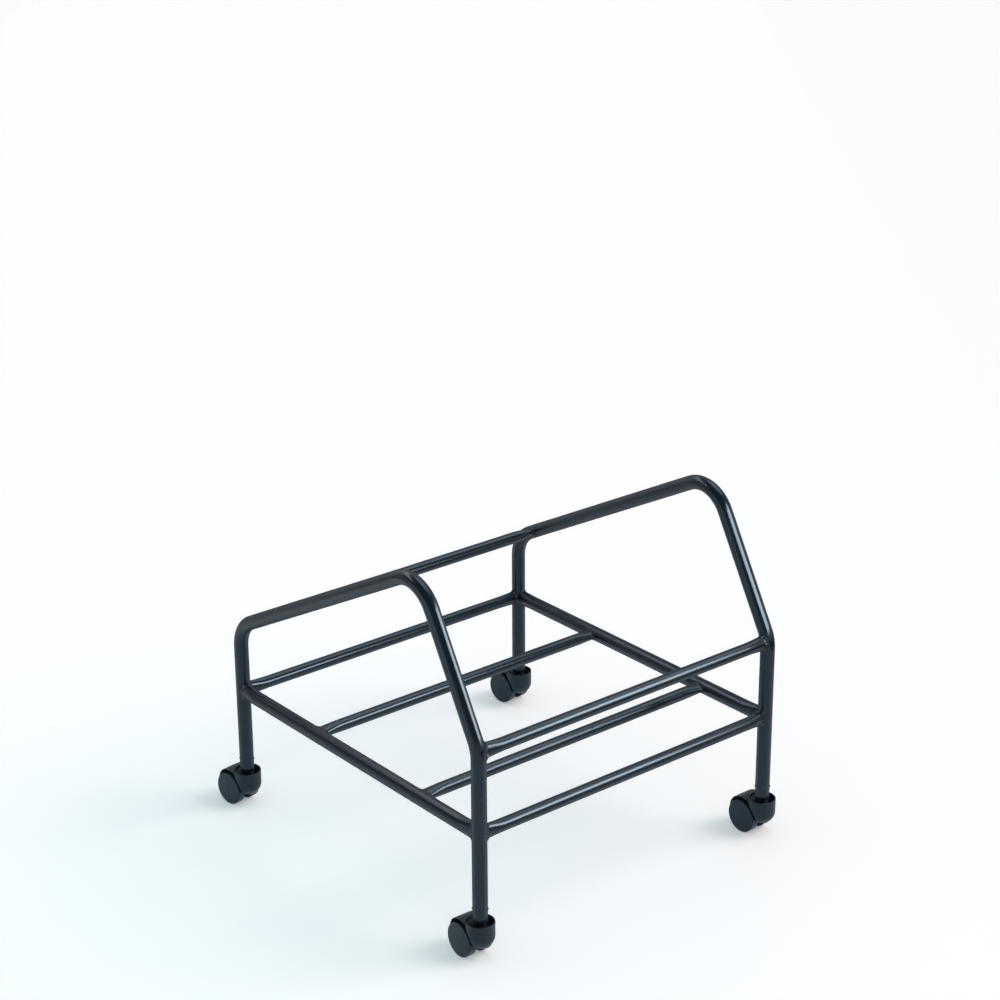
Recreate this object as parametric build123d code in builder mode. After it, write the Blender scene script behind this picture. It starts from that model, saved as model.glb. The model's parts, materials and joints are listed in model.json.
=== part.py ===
from build123d import *

import os
from math import asin, atan2, cos, degrees, radians, sin, sqrt, tan

# Chair dolly: a welded round-tube frame on four hooded twin-wheel casters.
# Millimetres. X runs across the dolly, -Y is its front, Z is up from the floor.

# Frame layout, on tube centrelines
LOOP_SPACING = 555.0  # from the left side loop to the right one
POST_SPACING = 584.0  # from the front posts to the rear posts
LOWER_RAIL_Z = 200.0  # side rails and lower cross rails
FRONT_BEND_Z = 329.0  # corner above the front post
REAR_CORNER_Z = 309.0  # corner above the rear post
TOP_CORNER_Z = 554.0  # highest corner
TOP_CORNER_BACK = 126.0  # highest corner, behind the front posts
BEND_R = 57.0  # every bend of a loop
REST_RAIL_TURN = 11.0  # front rest rail, degrees round the bend above the front post
REAR_REST_AHEAD = 194.0  # rear rest rail, in front of the rear posts
MIDDLE_RAIL_BEHIND = 136.5  # middle rail, behind the front posts
UPPER_RAIL_PAST_BEND = 14.0  # rear upper rail, past the end of the rear bend

# Tubes
FRAME_TUBE_D = 22.2  # loops and side rails
FRAME_TUBE_WALL = 1.5
CROSS_TUBE_D = 19.05  # cross rails
CROSS_TUBE_WALL = 1.2
PINCH_LENGTH = 45.0  # squeezed end of a rail, up to the axis of the tube that it meets
PINCH_SPREAD = 2.6  # by which the squeezed end is wider, each way along the tube that it meets
PINCH_STEPS = 4

# Plug welds that hold the stem sockets in the posts
PLUG_WELD_R = 2.8
PLUG_WELD_PROUD = 1.0
PLUG_WELD_UP = 18.0  # above the end of the post
PLUG_WELD_COUNT = 4
PLUG_WELD_START = 45.0  # angle of the first one, from +X

# Caster stem, grip ring and socket
STEM_D = 11.1
STEM_UP = 24.0  # above its collar, in the socket
STEM_CHAMFER = 1.0
COLLAR_D = 16.0
COLLAR_T = 2.0
POST_ABOVE_RIM = 2.0  # end of the post above the rim of the caster's cup
SOCKET_L = 38.0  # in the post
SOCKET_FLANGE_T = 1.5
SOCKET_CLEAR = 0.15
RING_W = 3.5
RING_GROOVE = 0.7
RING_DOWN = 5.0  # top of the ring below the top of the stem
RING_GAP = 40.0  # degrees left open in the split ring

# Caster wheels and axle
WHEEL_D = 52.0
WHEEL_W = 13.6
WHEEL_EDGE_R = 1.2  # outer edge of the tread
WHEEL_INNER_CHAMFER = 0.8
WHEEL_DOME = 0.6  # rise of the outer face
WHEEL_RIM_T = 3.0
WHEEL_FACE_T = 2.4
HUB_D = 12.0
RIB_COUNT = 6
RIB_T = 1.6
RIB_SET_BACK = 2.0  # from the open side of the wheel
AXLE_D = 6.0
TRAIL = 24.0  # axle behind the swivel axis

# Caster body
BODY_WALL = 1.6  # cup
HOOD_WALL = 1.2
ARCH_STEP = 0.4  # from the hood's edge down to the arch in the cup
WHEEL_GAP = 4.2  # from the tread to the hood
HOOD_CROWN = 0.4  # rise of the hood between its edges
HOOD_HALF_W = 17.8  # where it is widest, at the stem
HOOD_HALF_L = 80.0  # half the length of the oval that it narrows along, seen from above
HOOD_BACK_ANGLE = 12.0  # rear end of the hood above the axle's level, in degrees
CUP_D = 42.4
CUP_LOW_Z = 20.0
CUP_ROUND = 20.0  # rounded bottom
CUP_DEPTH = 14.0
RIM_ABOVE_HOOD = 3.6
COLUMN_WALL = 1.8  # around the stem
COLUMN_BELOW_RIM = 8.0
BORE_FLOOR_T = 2.0  # under the stem
WEB_T = 4.4
AXLE_BOSS_WALL = 3.5

# Fits
RUN_CLEAR = 0.05  # radial, of a turning fit
SIDE_CLEAR = 0.6  # from the stem's column to a wheel
END_CLEAR = 0.3
SNAP_DEPTH = 0.5  # groove that a moulded bead snaps into
SNAP_W = 2.4
SNAP_CLEAR = 0.1

# Casters as they stand, turned about their stems from trailing straight back, in degrees
REST_YAW = {"front_left": -1.5, "front_right": 1.0, "rear_left": 7.0, "rear_right": 4.0}

# Sizes that follow
tube_r = FRAME_TUBE_D / 2
tube_in_r = tube_r - FRAME_TUBE_WALL
cross_r = CROSS_TUBE_D / 2
stem_r = STEM_D / 2
axle_r = AXLE_D / 2
hub_r = HUB_D / 2
cup_r = CUP_D / 2
cup_in_r = cup_r - BODY_WALL
wheel_r = WHEEL_D / 2
axle_z = wheel_r
hood_edge_r = wheel_r + WHEEL_GAP + HOOD_WALL
hood_crest_r = hood_edge_r + HOOD_CROWN
rim_z = axle_z + hood_crest_r + RIM_ABOVE_HOOD
cup_floor_z = rim_z - CUP_DEPTH
post_end_z = rim_z + POST_ABOVE_RIM
column_r = stem_r + RUN_CLEAR + COLUMN_WALL
column_low_z = CUP_LOW_Z + BODY_WALL
stem_low_z = column_low_z + BORE_FLOOR_T + END_CLEAR
socket_low_z = post_end_z - SOCKET_FLANGE_T
socket_bore_r = stem_r + SOCKET_CLEAR
stem_top_z = socket_low_z + STEM_UP
ring_top_z = stem_top_z - RING_DOWN
ring_low_z = ring_top_z - RING_W
wheel_in = column_r + SIDE_CLEAR  # from the caster's middle plane
wheel_out = wheel_in + WHEEL_W
hub_end = wheel_out - WHEEL_FACE_T  # closed end of the axle's bore
axle_boss_half = wheel_in - END_CLEAR
hub_snap = (wheel_in + hub_end) / 2
stem_snap_z = (stem_low_z + cup_floor_z) / 2

# The frame is set forward by half of what the trailing wheels add at the rear, so that the
# origin is on the floor in the middle of the whole dolly
front_y = -POST_SPACING / 2 - (TRAIL + wheel_r - cup_r) / 2
rear_y = front_y + POST_SPACING
half_spacing = LOOP_SPACING / 2

loop_points = [
    (rear_y, post_end_z),
    (rear_y, REAR_CORNER_Z),
    (front_y + TOP_CORNER_BACK, TOP_CORNER_Z),
    (front_y, FRONT_BEND_Z),
    (front_y, post_end_z),
]

os.makedirs("parts", exist_ok=True)


def save(piece, name):
    piece.part.label = name
    export_step(piece.part, f"parts/{name}.step")


# Side loops
def swept_loop(x, bore_r=None):
    """One bent tube in the plane at x, or a full round bar without a bore."""
    with BuildPart() as loop:
        with BuildLine(Plane.YZ.offset(x)) as centreline:
            FilletPolyline(*loop_points, radius=BEND_R)
        with BuildSketch(Plane(centreline.line @ 0, z_dir=centreline.line % 0)):
            Circle(tube_r)
            if bore_r:
                Circle(bore_r, mode=Mode.SUBTRACT)
        sweep()
    return loop


def rail_tube(start, along, length, wide, outer_r, wall=None, cuts=()):
    """A straight tube, or a full bar with no wall, coped by the bars that it meets.

    Its ends are squeezed into ovals that are wide along the tubes that they meet."""
    start = Vector(start)
    along = Vector(along)
    squeeze = PINCH_SPREAD + PINCH_SPREAD**2 / (2 * outer_r)  # keeps the tube's girth
    layers = [(outer_r, Mode.ADD)]
    if wall:
        layers.append((outer_r - wall, Mode.SUBTRACT))
    with BuildPart() as tube:
        for radius, mode in layers:
            with BuildSketch(Plane(start + along * PINCH_LENGTH, x_dir=wide, z_dir=along)):
                Circle(radius)
            extrude(amount=length - 2 * PINCH_LENGTH, mode=mode)
            for end, inward in ((start, along), (start + along * length, -along)):
                for step in range(PINCH_STEPS + 1):
                    share = step / PINCH_STEPS
                    pinch = share**2 * (3 - 2 * share)
                    place = end + inward * (PINCH_LENGTH * (1 - share))
                    with BuildSketch(Plane(place, x_dir=wide, z_dir=inward)):
                        Ellipse(radius + PINCH_SPREAD * pinch, radius - squeeze * pinch)
                loft(mode=mode)
        for bar in cuts:
            add(bar.part, mode=Mode.SUBTRACT)
    return tube


sides = {"left": -half_spacing, "right": half_spacing}
loop_bars = {}
for side, x in sides.items():
    loop_bars[side] = swept_loop(x)
    tube = swept_loop(x, tube_in_r)
    weld_z = post_end_z + PLUG_WELD_UP
    weld_out = tube_r + PLUG_WELD_PROUD - PLUG_WELD_R
    with BuildPart() as side_loop:
        add(tube.part)
        with Locations((x, front_y, weld_z), (x, rear_y, weld_z)):
            with PolarLocations(weld_out, PLUG_WELD_COUNT, PLUG_WELD_START):
                Sphere(PLUG_WELD_R)
            Cylinder(tube_in_r, 2 * PLUG_WELD_R, mode=Mode.SUBTRACT)
    save(side_loop, f"{side}_side_loop")

# Side rails, between the posts of each loop
along_x = (1, 0, 0)
along_y = (0, 1, 0)
upright = (0, 0, 1)
side_bars = {}
for side, x in sides.items():
    start = (x, front_y, LOWER_RAIL_Z)
    size = (start, along_y, POST_SPACING, upright, tube_r)
    side_bars[side] = rail_tube(*size)
    side_rail = rail_tube(*size, FRAME_TUBE_WALL, [loop_bars[side]])
    save(side_rail, f"{side}_side_rail")

# Front rest rail, on the bend above the front posts
front_turn = atan2(TOP_CORNER_BACK, TOP_CORNER_Z - FRONT_BEND_Z)
rest_turn = radians(REST_RAIL_TURN)
rest_y = front_y + BEND_R * (1 - cos(rest_turn))
rest_z = FRONT_BEND_Z - BEND_R * tan(front_turn / 2) + BEND_R * sin(rest_turn)
rest_slope = (0, sin(rest_turn), cos(rest_turn))

# Rear upper rail, on the sloping top of the loops, past the rear bend
top_fall = atan2(POST_SPACING - TOP_CORNER_BACK, TOP_CORNER_Z - REAR_CORNER_Z)
upper_reach = BEND_R * tan(top_fall / 2) + UPPER_RAIL_PAST_BEND
upper_y = rear_y - upper_reach * sin(top_fall)
upper_z = REAR_CORNER_Z + upper_reach * cos(top_fall)
upper_slope = (0, -sin(top_fall), cos(top_fall))

# Cross rails, each with its place and the direction of the tubes that it meets
cross_rails = {
    "rear_lower_rail": (rear_y, LOWER_RAIL_Z, upright),
    "rear_rest_rail": (rear_y - REAR_REST_AHEAD, LOWER_RAIL_Z, along_y),
    "middle_rail": (front_y + MIDDLE_RAIL_BEHIND, LOWER_RAIL_Z, along_y),
    "front_lower_rail": (front_y, LOWER_RAIL_Z, upright),
    "front_rest_rail": (rest_y, rest_z, rest_slope),
    "rear_upper_rail": (upper_y, upper_z, upper_slope),
}
bars = [*loop_bars.values(), *side_bars.values()]
for name, (y, z, wide) in cross_rails.items():
    start = (-half_spacing, y, z)
    cross_rail = rail_tube(start, along_x, LOOP_SPACING, wide, cross_r, CROSS_TUBE_WALL, bars)
    save(cross_rail, name)

# Caster pieces, each made once about the swivel axis, with the wheels behind it
axle_point = (0, TRAIL, axle_z)
axle_plane = Plane(axle_point, x_dir=(1, 0, 0), z_dir=(0, -1, 0))
axle_line = Axis(axle_point, (1, 0, 0))

# Socket, a flanged sleeve in the end of the post
with BuildPart() as socket:
    with BuildSketch(Plane.XY.offset(socket_low_z)):
        Circle(tube_r)
    extrude(amount=SOCKET_FLANGE_T)
    with BuildSketch(Plane.XY.offset(post_end_z)):
        Circle(tube_in_r)
    extrude(amount=SOCKET_L)
    with BuildSketch(Plane.XY.offset(socket_low_z)):
        Circle(socket_bore_r)
    extrude(amount=SOCKET_FLANGE_T + SOCKET_L, mode=Mode.SUBTRACT)

# Stem, with its collar under the socket, a groove for the grip ring and one for the snap bead
with BuildPart() as stem:
    with BuildSketch(Plane.XY.offset(stem_low_z)):
        Circle(stem_r)
    extrude(amount=stem_top_z - stem_low_z)
    chamfer(stem.edges().group_by(Axis.Z)[-1] + stem.edges().group_by(Axis.Z)[0], STEM_CHAMFER)
    with BuildSketch(Plane.XY.offset(socket_low_z - COLLAR_T)):
        Circle(COLLAR_D / 2)
    extrude(amount=COLLAR_T)
    with BuildSketch(Plane.XY.offset(ring_low_z)):
        Circle(stem_r)
        Circle(stem_r - RING_GROOVE, mode=Mode.SUBTRACT)
    extrude(amount=RING_W, mode=Mode.SUBTRACT)
    with BuildSketch(Plane.XY.offset(stem_snap_z - SNAP_W / 2 - END_CLEAR)):
        Circle(stem_r)
        Circle(stem_r - SNAP_DEPTH, mode=Mode.SUBTRACT)
    extrude(amount=SNAP_W + 2 * END_CLEAR, mode=Mode.SUBTRACT)

# Split grip ring
with BuildPart() as grip_ring:
    with BuildSketch(Plane.XZ):
        with Locations((stem_r - RING_GROOVE, ring_low_z)):
            Rectangle(socket_bore_r - stem_r + RING_GROOVE, RING_W, align=(Align.MIN, Align.MIN))
    revolve(axis=Axis.Z, revolution_arc=360 - RING_GAP)

# Axle, pressed into the body, with a snap groove for each wheel
with BuildPart() as axle:
    axle_half = hub_end - END_CLEAR
    with BuildSketch(Plane.YZ.offset(-axle_half)):
        with Locations((TRAIL, axle_z)):
            Circle(axle_r)
    extrude(amount=2 * axle_half)
    for groove_x in (-hub_snap, hub_snap):
        with BuildSketch(Plane.YZ.offset(groove_x)):
            with Locations((TRAIL, axle_z)):
                Circle(axle_r)
                Circle(axle_r - SNAP_DEPTH, mode=Mode.SUBTRACT)
        extrude(amount=SNAP_W / 2 + END_CLEAR, both=True, mode=Mode.SUBTRACT)

# Wheel, about Z, with its outer face up and Z counted from the caster's middle plane
face_low = wheel_out - WHEEL_DOME
face_in = face_low - WHEEL_FACE_T
rim_in_r = wheel_r - WHEEL_RIM_T
edge_start_r = wheel_r - WHEEL_EDGE_R
dome_r = (edge_start_r**2 + WHEEL_DOME**2) / (2 * WHEEL_DOME)
dome_angle = degrees(asin(edge_start_r / dome_r))
hub_bore_r = axle_r + RUN_CLEAR
with BuildPart() as wheel:
    with BuildSketch(Plane.XZ):
        with BuildLine():
            Polyline(
                (0, wheel_out),
                (0, face_in),
                (rim_in_r, face_in),
                (rim_in_r, wheel_in),
                (wheel_r - WHEEL_INNER_CHAMFER, wheel_in),
                (wheel_r, wheel_in + WHEEL_INNER_CHAMFER),
                (wheel_r, face_low - WHEEL_EDGE_R),
            )
            CenterArc((edge_start_r, face_low - WHEEL_EDGE_R), WHEEL_EDGE_R, 0, 90)
            CenterArc((0, wheel_out - dome_r), dome_r, 90 - dome_angle, dome_angle)
        make_face()
    revolve(axis=Axis.Z)
    with BuildSketch(Plane.XY.offset(wheel_in)):
        Circle(hub_r)
    extrude(amount=face_in - wheel_in)
    with BuildSketch(Plane.XY.offset(wheel_in + RIB_SET_BACK)):
        with PolarLocations((hub_r + rim_in_r) / 2, RIB_COUNT):
            Rectangle(rim_in_r - hub_r + WHEEL_RIM_T, RIB_T)
    extrude(amount=face_in - wheel_in - RIB_SET_BACK)
    with BuildSketch(Plane.XY.offset(wheel_in)):
        Circle(hub_bore_r)
    extrude(amount=hub_end - wheel_in, mode=Mode.SUBTRACT)
    with BuildSketch(Plane.XY.offset(hub_snap)):
        Circle(hub_bore_r)
        Circle(axle_r - SNAP_DEPTH + SNAP_CLEAR, mode=Mode.SUBTRACT)
    extrude(amount=SNAP_W / 2, both=True)

# Part of the wheel arch that closes the back of the cup
with BuildPart() as cup_arch:
    with BuildSketch(Plane.XY.offset(cup_floor_z - BODY_WALL)):
        Circle(cup_r)
    extrude(amount=CUP_DEPTH)
    with BuildSketch(Plane.YZ.offset(-cup_r)):
        with Locations((TRAIL, axle_z)):
            Circle(hood_edge_r - ARCH_STEP)
    extrude(amount=2 * cup_r, mode=Mode.INTERSECT)

# Hood over the wheels, cut to an oval that narrows to its rear end
hood_in_r = hood_edge_r - HOOD_WALL
crest_in_r = hood_crest_r - HOOD_WALL
hood_front_angle = 180 - degrees(asin((cup_floor_z - axle_z) / hood_crest_r))
back = radians(HOOD_BACK_ANGLE)
hood_back_plane = Plane(axle_point, x_dir=(1, 0, 0), z_dir=(0, -sin(back), cos(back)))
with BuildPart() as hood:
    with BuildSketch(hood_back_plane):
        with BuildLine():
            Polyline(
                (-cup_r, hood_edge_r),
                (-cup_r, wheel_r),
                (cup_r, wheel_r),
                (cup_r, hood_edge_r),
            )
            ThreePointArc((cup_r, hood_edge_r), (0, hood_crest_r), (-cup_r, hood_edge_r))
        make_face()
    revolve(axis=axle_line, revolution_arc=hood_front_angle - HOOD_BACK_ANGLE)
    with BuildSketch(Plane.XY):
        Ellipse(HOOD_HALF_W, HOOD_HALF_L)
    extrude(amount=rim_z, mode=Mode.INTERSECT)

# Body: cup, hood, web between the wheels, column for the stem and boss for the axle
round_r = cup_r - CUP_ROUND
with BuildPart() as caster_body:
    with BuildSketch(Plane.XZ):
        with BuildLine():
            Line((0, cup_floor_z), (0, CUP_LOW_Z))
            Line((0, CUP_LOW_Z), (round_r, CUP_LOW_Z))
            CenterArc((round_r, CUP_LOW_Z + CUP_ROUND), CUP_ROUND, -90, 90)
            Line((cup_r, CUP_LOW_Z + CUP_ROUND), (cup_r, rim_z - BODY_WALL / 2))
            CenterArc((cup_r - BODY_WALL / 2, rim_z - BODY_WALL / 2), BODY_WALL / 2, 0, 180)
            Line((cup_in_r, rim_z - BODY_WALL / 2), (cup_in_r, cup_floor_z))
            Line((cup_in_r, cup_floor_z), (0, cup_floor_z))
        make_face()
    revolve(axis=Axis.Z)
    with BuildSketch(Plane.XZ):
        with BuildLine():
            Line((0, cup_floor_z - BODY_WALL), (0, column_low_z))
            Line((0, column_low_z), (round_r, column_low_z))
            CenterArc((round_r, CUP_LOW_Z + CUP_ROUND), CUP_ROUND - BODY_WALL, -90, 90)
            Line((cup_in_r, CUP_LOW_Z + CUP_ROUND), (cup_in_r, cup_floor_z - BODY_WALL))
            Line((cup_in_r, cup_floor_z - BODY_WALL), (0, cup_floor_z - BODY_WALL))
        make_face()
    revolve(axis=Axis.Z, mode=Mode.SUBTRACT)
    add(cup_arch.part)
    add(hood.part)
    with BuildSketch(axle_plane):
        with BuildLine():
            Polyline(
                (-cup_r, hood_in_r),
                (-cup_r, 0),
                (cup_r, 0),
                (cup_r, hood_in_r),
            )
            ThreePointArc((cup_r, hood_in_r), (0, crest_in_r), (-cup_r, hood_in_r))
        make_face()
    revolve(axis=axle_line, mode=Mode.SUBTRACT)
    # Web, from the column to the rear end of the hood
    web_r = crest_in_r + HOOD_WALL / 2
    web_top_z = axle_z + sqrt(web_r**2 - TRAIL**2)
    boss_r = axle_r + AXLE_BOSS_WALL
    with BuildSketch(Plane.YZ):
        with BuildLine():
            Polyline(
                (0, web_top_z),
                (0, column_low_z),
                (TRAIL, axle_z - boss_r),
                (TRAIL + web_r * cos(back), axle_z + web_r * sin(back)),
            )
            ThreePointArc(
                (TRAIL + web_r * cos(back), axle_z + web_r * sin(back)),
                (TRAIL, axle_z + web_r),
                (0, web_top_z),
            )
        make_face()
    extrude(amount=WEB_T / 2, both=True)
    with BuildSketch(Plane.XY.offset(column_low_z)):
        Circle(column_r)
    extrude(amount=rim_z - COLUMN_BELOW_RIM - column_low_z)
    with BuildSketch(Plane.YZ):
        with Locations((TRAIL, axle_z)):
            Circle(boss_r)
    extrude(amount=axle_boss_half, both=True)
    # Bores for the stem and the axle, and the bead that snaps into the stem's groove
    with BuildSketch(Plane.XY.offset(stem_low_z - END_CLEAR)):
        Circle(stem_r + RUN_CLEAR)
    extrude(amount=rim_z, mode=Mode.SUBTRACT)
    with BuildSketch(Plane.XY.offset(stem_snap_z)):
        Circle(stem_r + RUN_CLEAR)
        Circle(stem_r - SNAP_DEPTH + SNAP_CLEAR, mode=Mode.SUBTRACT)
    extrude(amount=SNAP_W / 2, both=True)
    with BuildSketch(Plane.YZ):
        with Locations((TRAIL, axle_z)):
            Circle(axle_r)
    extrude(amount=axle_boss_half, both=True, mode=Mode.SUBTRACT)

# The four casters, each placed by the plane of its post and its turn
posts = {
    "front_left": (-half_spacing, front_y),
    "front_right": (half_spacing, front_y),
    "rear_left": (-half_spacing, rear_y),
    "rear_right": (half_spacing, rear_y),
}
for corner, (x, y) in posts.items():
    yaw = radians(REST_YAW[corner])
    across = Vector(cos(yaw), sin(yaw), 0)
    behind = Vector(-sin(yaw), cos(yaw), 0)
    post_plane = Plane((x, y, 0))
    caster_plane = Plane((x, y, 0), x_dir=across)
    for piece, name in ((socket, "stem_socket"), (stem, "stem"), (grip_ring, "grip_ring")):
        with BuildPart(post_plane) as placed:
            add(piece.part)
        save(placed, f"{corner}_{name}")
    for piece, name in ((caster_body, "caster_body"), (axle, "axle")):
        with BuildPart(caster_plane) as placed:
            add(piece.part)
        save(placed, f"{corner}_{name}")
    hub = Vector(x, y, axle_z) + behind * TRAIL
    for name, outward in (("left_wheel", -across), ("right_wheel", across)):
        with BuildPart(Plane(hub, z_dir=outward)) as placed:
            add(wheel.part)
        save(placed, f"{corner}_{name}")
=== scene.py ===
import json
from math import atan2, cos, pi, radians, sin, sqrt, tan

import bpy
from mathutils import Matrix, Vector, noise


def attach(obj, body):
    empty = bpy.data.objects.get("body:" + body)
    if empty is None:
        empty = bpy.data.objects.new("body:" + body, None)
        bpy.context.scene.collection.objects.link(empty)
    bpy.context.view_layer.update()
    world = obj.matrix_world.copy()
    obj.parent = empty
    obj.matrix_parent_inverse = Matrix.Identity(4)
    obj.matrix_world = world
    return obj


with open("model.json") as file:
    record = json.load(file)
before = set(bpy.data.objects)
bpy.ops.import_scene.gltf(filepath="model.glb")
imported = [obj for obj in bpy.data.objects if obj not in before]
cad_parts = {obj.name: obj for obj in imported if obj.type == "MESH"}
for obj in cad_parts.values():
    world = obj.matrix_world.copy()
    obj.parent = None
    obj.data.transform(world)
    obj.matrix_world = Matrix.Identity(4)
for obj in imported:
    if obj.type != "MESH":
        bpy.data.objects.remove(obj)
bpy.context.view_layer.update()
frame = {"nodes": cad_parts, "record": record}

# Chair dolly in satin black powder coat, on twin-wheel casters. Metres.

# Camera, as the photograph was taken
CAMERA_AT = Vector((-2.12285, -2.62284, 1.88447))
CAMERA_AZIMUTH = radians(-39.152)
CAMERA_ELEVATION = radians(21.859)
CAMERA_ROLL = radians(-0.383)
CAMERA_LENS = 88.035
CAMERA_SENSOR = 36

# Frame tubes, where the rails are welded to them
LOOP_X = 0.2775
FRONT_Y = -0.3064
REAR_Y = 0.2776
LOWER_Z = 0.200
BEND_R = 0.057
FRONT_BEND_Z = 0.329
REAR_CORNER_Z = 0.309
TOP_CORNER_Z = 0.554
TOP_CORNER_BACK = 0.126
REST_TURN = radians(11)
REAR_REST_AHEAD = 0.194
MIDDLE_BEHIND = 0.1365
UPPER_PAST_BEND = 0.014
TUBE_R = 0.0111
CROSS_R = 0.009525
PINCH_WIDER = 0.0022
PINCH_FLATTER = 0.0025

# Weld beads
WELD_ON_RAIL = 0.0045
WELD_ON_TUBE = 0.0032
WELD_HOLLOW = 0.0003
WELD_LUMP = 0.0005
WELD_SINK = 0.0006
WELD_RIPPLE = 0.0041  # from one ripple to the next
WELD_RIPPLE_DRIFT = 4
WELD_RIPPLE_LUMP = 0.25  # height of a ripple, as a share of a lump
WELD_SIZE_DRIFT = 0.3
WELD_SIZE_RIPPLE = 0.05
WELD_NOISE_SCALE = 240
WELD_SEED = (37, 53, 71)
WELD_POINTS = 180
WELD_FACE_POINTS = 7

# Finishes
COAT_COLOUR = (0.004, 0.007, 0.011)
COAT_DUST = (0.055, 0.058, 0.06)
COAT_ROUGHNESS = (0.19, 0.24)
BODY_COLOUR = (0.006, 0.010, 0.014)
BODY_SCUFF = (0.03, 0.031, 0.033)
BODY_ROUGHNESS = (0.44, 0.54)
BODY_SHELTER = 0.012
WHEEL_COLOUR = (0.004, 0.009, 0.014)
WHEEL_DUST = (0.018, 0.025, 0.031)
WHEEL_ROUGHNESS = (0.30, 0.40)
WHEEL_SHELTER = 0.0045
STEEL_COLOUR = (0.12, 0.12, 0.125)
STEEL_ROUGHNESS = (0.3, 0.46)
COOL_GLOSS = (0.46, 0.65, 0.83, 1)
WHEEL_GLOSS = (0.30, 0.52, 0.77, 1)
NOISE_MIDDLE = (0.3, 0.7)  # where most values of a noise lie

# Studio
FLOOR_REACH = 30
# The near floor colour and glow are painted bluish shade, with less red, round the left of the dolly; the far
# ones are the open floor.
FLOOR_PAINTED_SHADE = (0.885, 0.955, 0.962)
FLOOR_FAR = (0.955, 0.938, 0.938)
FLOOR_ROUGHNESS = (0.7, 0.78)
GLOW_PAINTED_SHADE = (0.95, 1.0, 1.01)
GLOW_FAR = (0.99, 0.978, 0.982)
FLOOR_GLOW_LEVEL = 0.27
PAINTED_SHADE_CENTRE = (-0.4, 0.1, 0)
PAINTED_SHADE_REACH = (0.2, 0.9)  # distances from the centre where the painted bluish shade starts to fade and ends
SWEEP_TOP, SWEEP_COLOUR = 0.06, (0.965, 0.98, 0.99, 1)
CEILING_LOW, CEILING_COLOUR = 0.34, (0.19, 0.21, 0.235, 1)
# Dark sheets just over the floor, seen only in gloss, paint dark reflections on the tubes.
PAINTED_DARK_COLOUR = (0.02, 0.022, 0.025, 1)
DARK_REACH = 12
DARK_RIGHT = 1.1
DARK_LEFT = -2.0
DARK_Z = 0.002
WHITE_LAMP = (1, 1, 1)
WARM_LAMP = (1.23, 1.09, 1)


class Shader:
    """A material's nodes, with short ways to add and join them."""

    def __init__(self, name):
        self.material = bpy.data.materials.new(name)
        self.material.use_nodes = True
        self.tree = self.material.node_tree
        self.surface = self.tree.nodes["Principled BSDF"]
        self.place = self.add("ShaderNodeTexCoord").outputs["Object"]

    def add(self, kind, values=(), **settings):
        node = self.tree.nodes.new(kind)
        for key, value in settings.items():
            setattr(node, key, value)
        for key, value in dict(values).items():
            self.feed(node.inputs[key], value)
        return node

    def feed(self, socket, value):
        if isinstance(value, bpy.types.NodeSocket):
            self.tree.links.new(value, socket)
        else:
            socket.default_value = value

    def noise(self, scale, detail, place=None, distortion=0.0):
        values = {"Vector": place or self.place, "Scale": scale, "Detail": detail, "Distortion": distortion}
        return self.add("ShaderNodeTexNoise", values).outputs["Fac"]

    def spread(self, value, low, high, to_low, to_high):
        values = {"Value": value, "From Min": low, "From Max": high, "To Min": to_low, "To Max": to_high}
        return self.add("ShaderNodeMapRange", values).outputs["Result"]

    def maths(self, operation, first, second, third=0.0):
        return self.add("ShaderNodeMath", {0: first, 1: second, 2: third}, operation=operation).outputs[0]

    def mix(self, share, first, second):
        node = self.add("ShaderNodeMix", data_type="RGBA")
        self.feed(node.inputs["Factor"], share)
        for socket, value in ((node.inputs[6], first), (node.inputs[7], second)):
            self.feed(socket, value if isinstance(value, bpy.types.NodeSocket) else (*value, 1))
        return node.outputs[2]

    def mix_value(self, share, first, second):
        node = self.add("ShaderNodeMix", data_type="FLOAT")
        for socket, value in zip((node.inputs[0], node.inputs[2], node.inputs[3]), (share, first, second)):
            self.feed(socket, value)
        return node.outputs[0]

    def shelter(self, reach):
        """0 in the open and 1 deep in a gap, judged by what stands within reach."""
        openness = self.add("ShaderNodeAmbientOcclusion", {"Distance": reach}, samples=12).outputs["AO"]
        return self.spread(openness, 0.35, 0.85, 1, 0)

    def bump(self, height, strength, distance):
        values = {"Height": height, "Strength": strength, "Distance": distance}
        return self.add("ShaderNodeBump", values).outputs["Normal"]

    def set(self, **values):
        for key, value in values.items():
            self.feed(self.surface.inputs[key.replace("_", " ")], value)


def shade(colour, level):
    return tuple(part * level for part in colour)


def powder_coat():
    """Satin black: fine orange peel, slow changes of gloss, a little dust on what faces up, duller aslant."""
    coat = Shader("powder_coat")
    peel = coat.noise(scale=520, detail=2)
    slow = coat.noise(scale=24, detail=3)
    grit = coat.noise(scale=2600, detail=1)
    facing = coat.add("ShaderNodeNewGeometry").outputs["Normal"]
    up = coat.add("ShaderNodeSeparateXYZ", {"Vector": facing}).outputs["Z"]
    dust = coat.maths("MULTIPLY", coat.spread(up, 0.5, 1, 0, 1), coat.spread(grit, 0.68, 0.76, 0, 0.2))
    tone = coat.mix(slow, shade(COAT_COLOUR, 0.8), shade(COAT_COLOUR, 1.2))
    slant = coat.add("ShaderNodeLayerWeight").outputs["Facing"]
    duller = coat.maths("MULTIPLY", coat.maths("POWER", slant, 2.5), 0.9)
    satin = coat.spread(slow, *NOISE_MIDDLE, *COAT_ROUGHNESS)
    coat.set(
        Base_Color=coat.mix(dust, tone, COAT_DUST),
        Roughness=coat.maths("ADD", satin, coat.maths("MULTIPLY_ADD", dust, 0.3, duller)),
        Normal=coat.bump(peel, strength=0.03, distance=0.0001),
        IOR=1.55,
        Specular_Tint=COOL_GLOSS,
    )
    return coat.material


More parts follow.
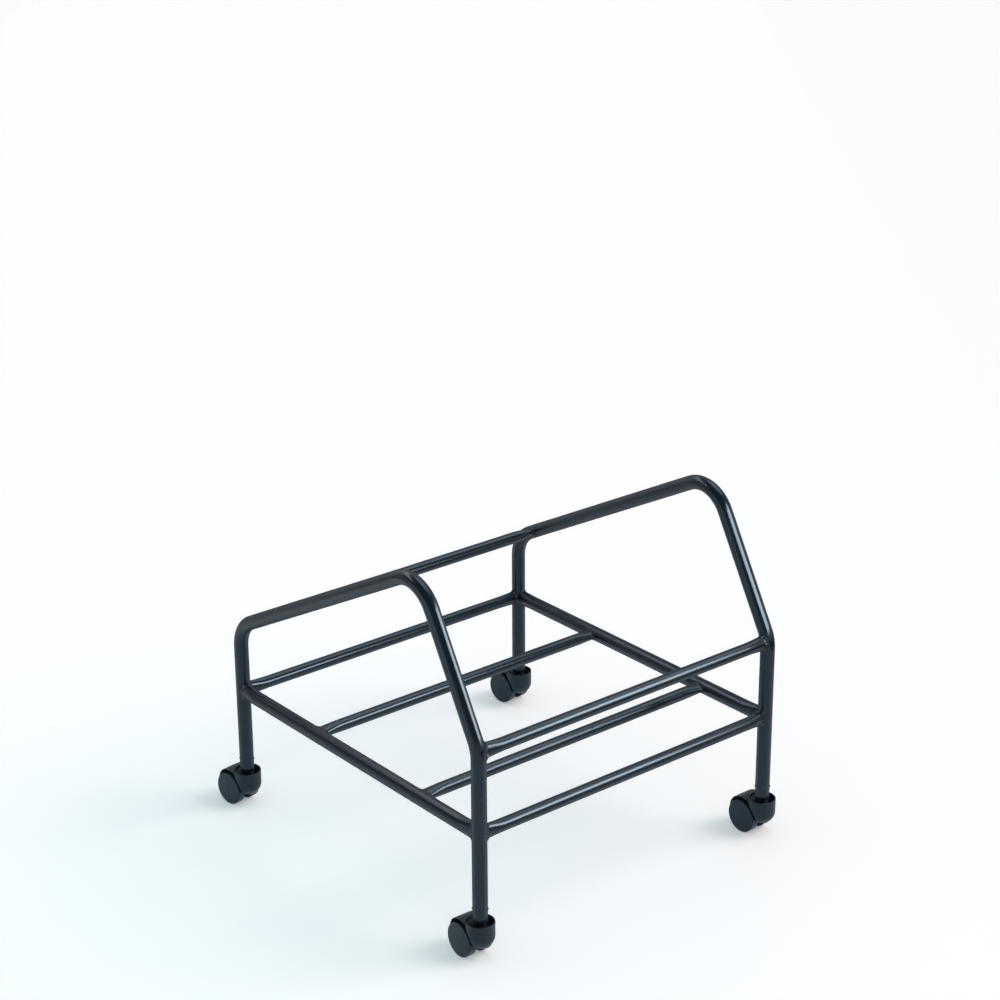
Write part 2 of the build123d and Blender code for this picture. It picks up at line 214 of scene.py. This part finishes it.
def moulded_body():
    """Black nylon with the fine spark-eroded grain of a mould, a few scuffs and dull gaps."""
    plastic = Shader("moulded_nylon")
    grain = plastic.noise(scale=2400, detail=3)
    slow = plastic.noise(scale=60, detail=3)
    scuff = plastic.spread(plastic.noise(scale=900, detail=4, distortion=1.5), 0.66, 0.76, 0, 0.5)
    tone = plastic.mix(slow, shade(BODY_COLOUR, 0.8), shade(BODY_COLOUR, 1.25))
    matt = plastic.spread(slow, *NOISE_MIDDLE, *BODY_ROUGHNESS)
    plastic.set(
        Base_Color=plastic.mix(scuff, tone, BODY_SCUFF),
        Roughness=plastic.mix_value(plastic.shelter(BODY_SHELTER), matt, 1.0),
        Normal=plastic.bump(grain, strength=0.25, distance=0.00015),
        IOR=1.5,
        Specular_Tint=COOL_GLOSS,
    )
    return plastic.material


def wheel_nylon():
    """Black nylon, smoother than the body, with patches of dust and dull gaps."""
    plastic = Shader("wheel_nylon")
    grain = plastic.noise(scale=1800, detail=2)
    slow = plastic.noise(scale=70, detail=3)
    dust = plastic.spread(plastic.noise(scale=420, detail=5, distortion=0.8), 0.55, 0.8, 0, 0.5)
    tone = plastic.mix(slow, shade(WHEEL_COLOUR, 0.8), shade(WHEEL_COLOUR, 1.2))
    satin = plastic.spread(slow, *NOISE_MIDDLE, *WHEEL_ROUGHNESS)
    plastic.set(
        Base_Color=plastic.mix(dust, tone, WHEEL_DUST),
        Roughness=plastic.mix_value(plastic.shelter(WHEEL_SHELTER), satin, 1.0),
        Normal=plastic.bump(grain, strength=0.15, distance=0.00012),
        IOR=1.5,
        Specular_Tint=WHEEL_GLOSS,
    )
    return plastic.material


def zinc_plate():
    """Black zinc on turned steel, with fine turning lines round the stem."""
    steel = Shader("black_zinc")
    flat = steel.add("ShaderNodeMapping", {"Vector": steel.place, "Scale": (1, 1, 40)}).outputs["Vector"]
    lines = steel.noise(scale=220, detail=2, place=flat)
    slow = steel.noise(scale=180, detail=3)
    steel.set(
        Base_Color=steel.mix(slow, shade(STEEL_COLOUR, 0.75), shade(STEEL_COLOUR, 1.2)),
        Metallic=1.0,
        Roughness=steel.spread(lines, *NOISE_MIDDLE, *STEEL_ROUGHNESS),
        Normal=steel.bump(lines, strength=0.1, distance=0.0001),
    )
    return steel.material


def pale_floor():
    """Pale floor with a painted bluish shade at the left of the dolly. It glows a little to the eye and in
    gloss, which softens its shadows and puts no light on the dolly.
    """
    ground = Shader("pale_floor")
    slow = ground.noise(scale=1.5, detail=3)
    values = {0: ground.place, 1: PAINTED_SHADE_CENTRE}
    away = ground.add("ShaderNodeVectorMath", values, operation="DISTANCE").outputs["Value"]
    far = ground.spread(away, *PAINTED_SHADE_REACH, 0, 1)
    path = ground.add("ShaderNodeLightPath").outputs
    seen = ground.maths("MAXIMUM", path["Is Camera Ray"], path["Is Glossy Ray"])
    seen = ground.maths("MAXIMUM", seen, path["Is Transmission Ray"])
    # Close to the centre the floor colour and its glow are painted bluish shade, fading to the far colours
    # with distance.
    ground.set(
        Base_Color=ground.mix(far, FLOOR_PAINTED_SHADE, FLOOR_FAR),
        Roughness=ground.spread(slow, *NOISE_MIDDLE, *FLOOR_ROUGHNESS),
        Normal=ground.bump(ground.noise(scale=300, detail=2), strength=0.03, distance=0.0005),
        IOR=1.3,
        Emission_Color=ground.mix(far, GLOW_PAINTED_SHADE, GLOW_FAR),
        Emission_Strength=ground.maths("MULTIPLY", seen, FLOOR_GLOW_LEVEL),
    )
    return ground.material


def add_camera():
    az, el, roll = CAMERA_AZIMUTH, CAMERA_ELEVATION, CAMERA_ROLL
    back = Vector((sin(az) * cos(el), -cos(az) * cos(el), sin(el)))
    level = Vector((cos(az), sin(az), 0))
    upright = back.cross(level)
    right = level * cos(roll) + upright * sin(roll)
    up = upright * cos(roll) - level * sin(roll)
    data = bpy.data.cameras.new("camera")
    data.sensor_width = CAMERA_SENSOR
    data.lens = CAMERA_LENS
    camera = bpy.data.objects.new("camera", data)
    turn = Matrix((right, up, back)).transposed().to_4x4()
    camera.matrix_world = Matrix.Translation(CAMERA_AT) @ turn
    bpy.context.collection.objects.link(camera)
    bpy.context.scene.camera = camera


def add_mesh(name, points, faces, material, smooth=True):
    mesh = bpy.data.meshes.new(name)
    mesh.from_pydata([tuple(point) for point in points], [], faces)
    mesh.update()
    mesh.polygons.foreach_set("use_smooth", [smooth] * len(mesh.polygons))
    mesh.materials.append(material)
    piece = bpy.data.objects.new(name, mesh)
    bpy.context.collection.objects.link(piece)
    return piece


def add_weld(name, centre, out, along, rail_r, material):
    """A fillet weld round the squeezed end of a rail, where it meets a tube that runs along "along"."""
    across = out.cross(along)
    wide, thin = rail_r + PINCH_WIDER, rail_r - PINCH_FLATTER
    seed = Vector([part * factor for part, factor in zip(centre, WELD_SEED)])
    corners = []
    for i in range(WELD_POINTS):
        turn = 2 * pi * i / WELD_POINTS
        side = thin * sin(turn)
        deep = sqrt(TUBE_R**2 - side**2)
        spot = centre + along * (wide * cos(turn)) + across * side + out * deep
        rail_normal = (along * (cos(turn) / wide) + across * (sin(turn) / thin)).normalized()
        tube_normal = (out * deep + across * side) / TUBE_R
        corners.append((spot, rail_normal, tube_normal))
    points = []
    run = 0.0
    for i, (spot, rail_normal, tube_normal) in enumerate(corners):
        before, after = corners[i - 1][0], corners[(i + 1) % WELD_POINTS][0]
        run += (spot - before).length
        heading = (after - before).normalized()
        on_rail = rail_normal.cross(heading)
        on_rail *= 1 if on_rail.dot(out) > 0 else -1
        on_tube = tube_normal.cross(heading)
        on_tube *= 1 if on_tube.dot(rail_normal) > 0 else -1
        uneven = noise.noise(spot * WELD_NOISE_SCALE + seed)
        ripple = cos(2 * pi * run / WELD_RIPPLE + WELD_RIPPLE_DRIFT * uneven)
        size = 1 + WELD_SIZE_DRIFT * uneven + WELD_SIZE_RIPPLE * ripple
        start = spot + on_rail * (WELD_ON_RAIL * size) - rail_normal * (WELD_SINK / 2)
        end = spot + on_tube * (WELD_ON_TUBE * size) - tube_normal * (WELD_SINK / 2)
        proud = (rail_normal + tube_normal).normalized()
        lump = WELD_LUMP * (uneven + WELD_RIPPLE_LUMP * ripple) - WELD_HOLLOW
        for j in range(WELD_FACE_POINTS):
            share = j / (WELD_FACE_POINTS - 1)
            swell = 4 * share * (1 - share) * lump
            points.append(start.lerp(end, share) + proud * swell)
        points.append(spot - proud * WELD_SINK)
    ring = WELD_FACE_POINTS + 1
    faces = []
    for i in range(WELD_POINTS):
        here, there = i * ring, (i + 1) % WELD_POINTS * ring
        for j in range(ring):
            k = (j + 1) % ring
            faces.append((here + j, here + k, there + k, there + j))
    piece = add_mesh(name, points, faces, material)
    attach(piece, "frame")


def add_welds(material):
    """Welds at both ends of the six cross rails and the two side rails."""
    front_turn = atan2(TOP_CORNER_BACK, TOP_CORNER_Z - FRONT_BEND_Z)
    rest_y = FRONT_Y + BEND_R * (1 - cos(REST_TURN))
    rest_z = FRONT_BEND_Z - BEND_R * tan(front_turn / 2) + BEND_R * sin(REST_TURN)
    fall = atan2(REAR_Y - FRONT_Y - TOP_CORNER_BACK, TOP_CORNER_Z - REAR_CORNER_Z)
    reach = BEND_R * tan(fall / 2) + UPPER_PAST_BEND
    upper_y, upper_z = REAR_Y - reach * sin(fall), REAR_CORNER_Z + reach * cos(fall)
    rails = {
        "rear_lower": (REAR_Y, LOWER_Z, (0, 0, 1)),
        "rear_rest": (REAR_Y - REAR_REST_AHEAD, LOWER_Z, (0, 1, 0)),
        "middle": (FRONT_Y + MIDDLE_BEHIND, LOWER_Z, (0, 1, 0)),
        "front_lower": (FRONT_Y, LOWER_Z, (0, 0, 1)),
        "front_rest": (rest_y, rest_z, (0, sin(REST_TURN), cos(REST_TURN))),
        "rear_upper": (upper_y, upper_z, (0, -sin(fall), cos(fall))),
    }
    upright = Vector((0, 0, 1))
    for side, x, inward in (("left", -LOOP_X, 1), ("right", LOOP_X, -1)):
        for name, (y, z, along) in rails.items():
            centre, out = Vector((x, y, z)), Vector((inward, 0, 0))
            add_weld(f"weld_{name}_{side}", centre, out, Vector(along), CROSS_R, material)
        for end, y, facing in (("front", FRONT_Y, 1), ("rear", REAR_Y, -1)):
            centre, out = Vector((x, y, LOWER_Z)), Vector((0, facing, 0))
            add_weld(f"weld_side_{end}_{side}", centre, out, upright, TUBE_R, material)


def add_lamp(name, kind, energy, colour, at, to=(0, 0, 0), in_gloss=True, **settings):
    """A lamp that is seen either in gloss alone, or in all but gloss."""
    data = bpy.data.lights.new(name, kind)
    data.energy = energy
    data.color = colour
    for key, value in settings.items():
        setattr(data, key, value)
    lamp = bpy.data.objects.new(name, data)
    aim = Vector(to) - Vector(at)
    lamp.matrix_world = Matrix.Translation(at) @ aim.to_track_quat("-Z", "Y").to_matrix().to_4x4()
    lamp.visible_camera = False
    lamp.visible_glossy = in_gloss
    lamp.visible_diffuse = not in_gloss
    bpy.context.collection.objects.link(lamp)


def add_lamps():
    add_lamp("overhead", "SUN", 1.2, (1.03, 1.03, 1), (0.42, 0.06, 0.90), angle=radians(48))
    add_lamp("key", "SUN", 1.15, (1.2, 0.985, 0.92), (0.60, -0.46, 0.66), in_gloss=False, angle=radians(36))
    add_lamp("fill", "SUN", 0.92, (0.78, 1.0, 1.04), (0.1, -0.05, 1), in_gloss=False, angle=radians(170))
    add_lamp(
        "side_box", "AREA", 12, WARM_LAMP, (0.389, -0.898, 0.757), (0, -0.36, 0.4),
        shape="RECTANGLE", size=0.644, size_y=0.428,
    )
    add_lamp(
        "rear_box", "AREA", 2.8, WHITE_LAMP, (-0.5, 1.8, 1.5), (0, 0, 0.2),
        shape="RECTANGLE", size=1.4, size_y=1.0,
    )
    add_lamp(
        "rear_strip", "AREA", 11, WARM_LAMP, (-0.4, 1.2, 1.9), (0, 0, 0.3),
        shape="RECTANGLE", size=2.4, size_y=0.35,
    )
    add_lamp(
        "left_card", "AREA", 5, WHITE_LAMP, (-2.3, 0.2, 0.42), (0, 0, 0.42),
        shape="RECTANGLE", size=1.8, size_y=0.8,
    )


def add_floor():
    far = FLOOR_REACH
    corners = [(-far, -far, 0), (far, -far, 0), (far, far, 0), (-far, far, 0)]
    floor = add_mesh("floor", corners, [(0, 1, 2, 3)], pale_floor(), False)


def add_world():
    """A pale sweep at the level of the floor, under a dim ceiling."""
    world = bpy.data.worlds.new("studio")
    world.use_nodes = True
    nodes, links = world.node_tree.nodes, world.node_tree.links
    heading = nodes.new("ShaderNodeTexCoord").outputs["Generated"]
    parts = nodes.new("ShaderNodeSeparateXYZ")
    ramp = nodes.new("ShaderNodeValToRGB")
    links.new(heading, parts.inputs["Vector"])
    links.new(parts.outputs["Z"], ramp.inputs["Fac"])
    links.new(ramp.outputs["Color"], nodes["Background"].inputs["Color"])
    steps = ramp.color_ramp.elements
    steps[0].position, steps[0].color = SWEEP_TOP, SWEEP_COLOUR
    steps[1].position, steps[1].color = CEILING_LOW, CEILING_COLOUR
    bpy.context.scene.world = world


def add_painted_dark_reflections():
    """Dark sheets standing in for the unlit studio floor past both edges of the paper, which only gloss
    shows: painted dark reflections on the tubes.
    """
    right = Vector((cos(CAMERA_AZIMUTH), sin(CAMERA_AZIMUTH), 0))
    away = Vector((-right.y, right.x, 0))
    material = bpy.data.materials.new("painted_dark_reflection")
    material.use_nodes = True
    surface = material.node_tree.nodes["Principled BSDF"].inputs
    surface["Base Color"].default_value = PAINTED_DARK_COLOUR
    surface["Roughness"].default_value = 1
    reach = DARK_REACH
    edges = (("painted_dark_reflection_right", DARK_RIGHT, reach), ("painted_dark_reflection_left", DARK_LEFT, -reach))
    for name, near, far in edges:
        points = []
        for side, along in ((near, -reach), (far, -reach), (far, reach), (near, reach)):
            points.append(right * side + away * along + Vector((0, 0, DARK_Z)))
        sheet = add_mesh(name, points, [(0, 1, 2, 3)], material, False)
        sheet.visible_camera = False
        sheet.visible_diffuse = False
        sheet.visible_shadow = False
        sheet.visible_transmission = False


add_camera()
coat = powder_coat()
finishes = {
    "black_tube": coat,
    "caster_plastic": moulded_body(),
    "wheel_plastic": wheel_nylon(),
    "plated_steel": zinc_plate(),
}
for row in frame["record"]["subparts"]:
    mesh = frame["nodes"][row["node"]].data
    mesh.materials.clear()
    mesh.materials.append(finishes[row["material_slot"]])
add_welds(coat)
add_floor()
add_world()
add_painted_dark_reflections()
add_lamps()
bpy.context.scene.view_settings.view_transform = "Standard"
